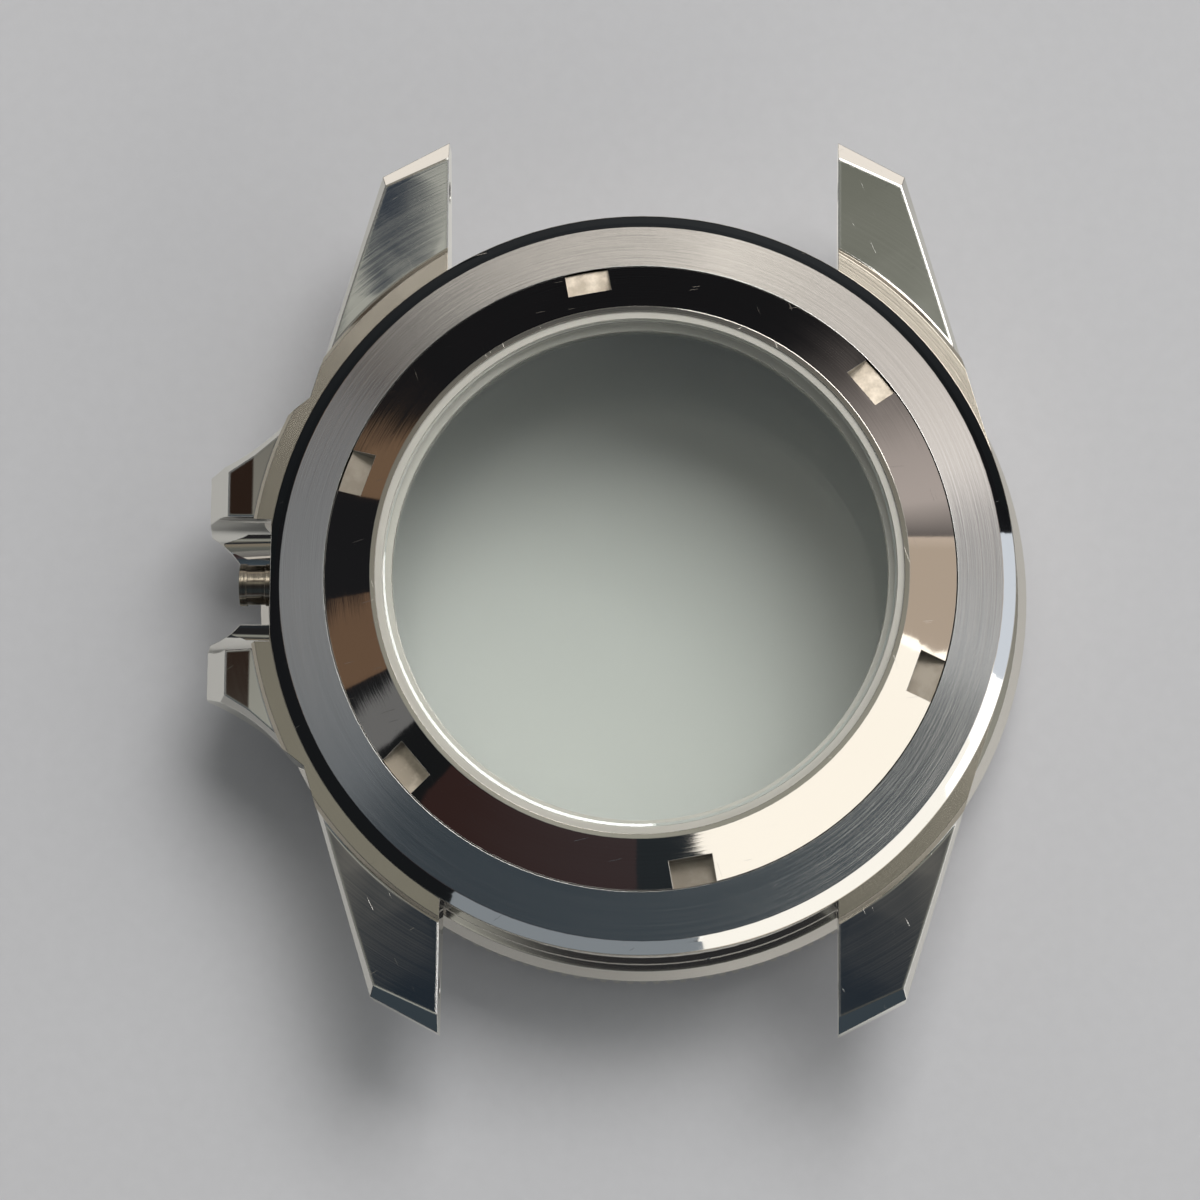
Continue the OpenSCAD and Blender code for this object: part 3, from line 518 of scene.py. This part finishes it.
lines = standing(tree, relief, 1.0, add(tree, "Bevel", {"Radius": 0.04 * MM}, samples=4))
show(tree, add(tree, "BsdfPrincipled", {"Base Color": tint, "Metallic": 1.0, "Roughness": rough,
                                        "Normal": lines}))
dress(mirror, "case_back_ring")

# %% [markdown]
# ## Polished bezel, wire, springs and pins
#
# The turning bezel is polished, with a coin edge cut by a knurling wheel. The spring wire and
# the click spring are drawn and stamped steel, a little duller and cooler.

# %% Bezel and small steel
polished, tree = blank("steel_316L_turned_and_buffed")
# its buffing lines are drawn 0.06 mm wide, for the same reason
hairs = ring_streaks(tree, place(tree), 20.0, 0.06)
lines = standing(tree, hairs, 0.001, add(tree, "Bevel", {"Radius": 0.03 * MM}, samples=4))
rough = add(tree, "Math", {0: hairs, 1: 0.08, 2: 0.04}, operation="MULTIPLY_ADD")
show(tree, add(tree, "BsdfPrincipled", {"Base Color": colour("#CDCAC6"), "Metallic": 1.0, "Normal": lines,
                                        "Roughness": rough}))
dress(polished, "bezel_ring", "pearl_cup")

spring, tree = blank("spring_steel_drawn")
at = place(tree)
# the grain under the marks is about 0.17 mm across
grain = add(tree, "TexNoise", {"Vector": at["spot"], "Scale": 6.0, "Detail": 3.0}, out="Fac")
# the die leaves long draw marks, a few hundredths of a millimetre wide
lines = standing(tree, ring_streaks(tree, at, 30.0, 0.03), 0.002)
rough = add(tree, "Math", {0: grain, 1: 0.15, 2: 0.2}, operation="MULTIPLY_ADD")
show(tree, add(tree, "BsdfPrincipled", {"Base Color": colour("#B9BBBD"), "Metallic": 1.0, "Normal": lines,
                                        "Roughness": rough}))
dress(spring, "bezel_retaining_wire", "click_spring", "click_spring_pins")

# %% [markdown]
# ## Crown tube
#
# The tube is a separate turned pin, tinted a warm tan-grey. The tool left rings along it.

# %% Turned tube, tinted warm tan
tube_steel, tree = blank("steel_tube_warm_tan")
at = place(tree)
# the tool's feed leaves 14 rings in a millimetre along the tube
along = add(tree, "VectorMath", {0: at["spot"], 1: (14.0, 0.3, 0.3)}, operation="MULTIPLY")
rings = add(tree, "TexNoise", {"Vector": along, "Scale": 1.0, "Detail": 2.0}, out="Fac")
tint = add(tree, "Mix", {"Factor": rings, "A": colour("#6C665D"), "B": colour("#A69D8F")}, out="Result",
           data_type="RGBA")
lines = standing(tree, rings, 0.004, add(tree, "Bevel", {"Radius": 0.04 * MM}, samples=4))
rough = add(tree, "Math", {0: rings, 1: 0.14, 2: 0.12}, operation="MULTIPLY_ADD")
show(tree, add(tree, "BsdfPrincipled", {"Base Color": tint, "Metallic": 1.0, "Normal": lines,
                                        "Roughness": rough}))
dress(tube_steel, "crown_tube")

# %% [markdown]
# ## Mineral glass
#
# Both windows are flat mineral glass, ground and polished. Glass bends and reflects what is
# behind it. Rays from the lamps are let through as if it were clear, because the eye expects
# light inside the case and tracing it through two panes would take far longer.

# %% Front and back glass
def mineral_glass(name, tint):
    """Clear glass with a breath of dust, which lets lamp light into the case."""
    glass, tree = blank(name)
    at = place(tree)
    # a smear of dust is about 2 mm across
    haze = add(tree, "TexNoise", {"Vector": at["spot"], "Scale": 0.5, "Detail": 5.0}, out="Fac")
    dust = add(tree, "MapRange", {"Value": haze, "From Min": 0.5, "From Max": 0.8, "To Min": 0.0,
                                  "To Max": 0.02})
    body = add(tree, "BsdfPrincipled", {"Base Color": colour(tint), "IOR": 1.52, "Transmission Weight": 1.0,
                                        "Roughness": dust})
    clear = add(tree, "BsdfTransparent", {"Color": colour(tint)})
    path = add(tree, "LightPath").node.outputs
    unseen = add(tree, "Math", {0: path["Is Shadow Ray"], 1: path["Is Diffuse Ray"]}, operation="MAXIMUM")
    show(tree, add(tree, "MixShader", {0: unseen, 1: body, 2: clear}))
    return glass


dress(mineral_glass("mineral_glass_front", "#FCFEFD"), "front_crystal")
dress(mineral_glass("mineral_glass_back", "#FDFEFE"), "back_glass")

# %% [markdown]
# ## Nylon, rubber and film
#
# The glass gaskets are off-white nylon: milky, because light enters and scatters under its
# skin. The seals are nitrile rubber, which swallows light. The insert is held by a thin film
# of adhesive.

# %% Nylon gaskets
nylon, tree = blank("nylon_gasket")
# moulding leaves cloudy flow lines, about 6 mm long and half a millimetre wide
cloud = ring_streaks(tree, place(tree), 6.0, 0.5)
tint = add(tree, "Mix", {"Factor": cloud, "A": colour("#B9B7B0"), "B": colour("#D3D1CA")}, out="Result",
           data_type="RGBA")
rough = add(tree, "Math", {0: cloud, 1: 0.15, 2: 0.38}, operation="MULTIPLY_ADD")
show(tree, add(tree, "BsdfPrincipled", {
    "Base Color": tint, "IOR": 1.53, "Normal": standing(tree, cloud, 0.004), "Subsurface Weight": 0.35,
    "Subsurface Scale": 0.4 * MM, "Subsurface Radius": (1.0, 1.0, 0.9), "Roughness": rough}))
dress(nylon, "crystal_gasket", "back_glass_gasket", "bezel_slip_ring")

# %% Rubber seals
rubber, tree = blank("nitrile_rubber_greased")
at = place(tree)
# the moulded skin's grain is a few hundredths of a millimetre and is drawn 0.11 mm across, to show
grain = add(tree, "TexNoise", {"Vector": at["spot"], "Scale": 9.0, "Detail": 3.0}, out="Fac")
tint = add(tree, "Mix", {"Factor": grain, "A": colour("#151515"), "B": colour("#232324")}, out="Result",
           data_type="RGBA")
rough = add(tree, "Math", {0: grain, 1: 0.2, 2: 0.35}, operation="MULTIPLY_ADD")
show(tree, add(tree, "BsdfPrincipled", {"Base Color": tint, "IOR": 1.52, "Roughness": rough,
                                        "Normal": standing(tree, grain, 0.006)}))
dress(rubber, "tube_seal", "back_seal")

# %% Adhesive film
film, tree = blank("acrylic_adhesive_film")
# the adhesive lies unevenly, in clouds of half a millimetre
grain = add(tree, "TexNoise", {"Vector": place(tree)["spot"], "Scale": 2.0, "Detail": 4.0}, out="Fac")
tint = add(tree, "Mix", {"Factor": grain, "A": colour("#B7AB83"), "B": colour("#CBC19C")}, out="Result",
           data_type="RGBA")
rough = add(tree, "Math", {0: grain, 1: 0.2, 2: 0.45}, operation="MULTIPLY_ADD")
show(tree, add(tree, "BsdfPrincipled", {"Base Color": tint, "IOR": 1.47, "Roughness": rough}))
dress(film, "insert_adhesive")

# %% [markdown]
# ## Insert, marks, pearl and chapter ring
#
# These look down at the table in the photograph, and show when the case is turned over. The
# insert is anodised aluminium, a satin black with a fine ring grain. Its marks are filled with
# matte white paint, and the pearl is a luminous compound under clear lacquer. The chapter ring
# is satin aluminium.

# %% Insert and chapter ring
anodised, tree = blank("aluminium_black_anodised")
# it was turned before the bath; its lines, like the chapter ring's, are finer than they are drawn
turned = ring_streaks(tree, place(tree), 12.0, 0.04)
tint = add(tree, "Mix", {"Factor": turned, "A": colour("#14161A"), "B": colour("#22252A")}, out="Result",
           data_type="RGBA")
rough = add(tree, "Math", {0: turned, 1: 0.15, 2: 0.3}, operation="MULTIPLY_ADD")
show(tree, add(tree, "BsdfPrincipled", {"Base Color": tint, "IOR": 1.6, "Roughness": rough,
                                        "Normal": standing(tree, turned, 0.003)}))
dress(anodised, "bezel_insert")

# painted shade: the ring's grey is far darker than bare aluminium, standing in for the dim wall it forms
# inside the case
satin, tree = blank("aluminium_satin_dark_grey")
turned = ring_streaks(tree, place(tree), 8.0, 0.05)
rough = add(tree, "Math", {0: turned, 1: 0.15, 2: 0.3}, operation="MULTIPLY_ADD")
show(tree, add(tree, "BsdfPrincipled", {"Base Color": colour("#8E8F90"), "Metallic": 1.0, "Roughness": rough,
                                        "Normal": standing(tree, turned, 0.002)}))
dress(satin, "chapter_ring")

# %% Marks and pearl
paint, tree = blank("white_fill_paint")
# the dry paint is uneven at about 0.14 mm
grain = add(tree, "TexNoise", {"Vector": place(tree)["spot"], "Scale": 7.0, "Detail": 3.0}, out="Fac")
tint = add(tree, "Mix", {"Factor": grain, "A": colour("#DAD9D3"), "B": colour("#EAE9E4")}, out="Result",
           data_type="RGBA")
rough = add(tree, "Math", {0: grain, 1: 0.2, 2: 0.5}, operation="MULTIPLY_ADD")
show(tree, add(tree, "BsdfPrincipled", {"Base Color": tint, "Roughness": rough}))
dress(paint, "insert_marks")

lume, tree = blank("luminous_compound")
# the pigment's grains are near 0.03 mm and are drawn 0.07 mm across, so that they show
grain = add(tree, "TexNoise", {"Vector": place(tree)["spot"], "Scale": 14.0, "Detail": 2.0}, out="Fac")
tint = add(tree, "Mix", {"Factor": grain, "A": colour("#D7DDBE"), "B": colour("#E8ECD4")}, out="Result",
           data_type="RGBA")
rough = add(tree, "Math", {0: grain, 1: 0.2, 2: 0.5}, operation="MULTIPLY_ADD")
show(tree, add(tree, "BsdfPrincipled", {"Base Color": tint, "Roughness": rough, "Coat Weight": 0.8,
                                        "Coat Roughness": 0.08}))
dress(lume, "luminous_pearl")

# %% Measure and finish
low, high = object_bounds()
print("visual size in mm:", [round((h - l) / MM, 2) for l, h in zip(low, high)])
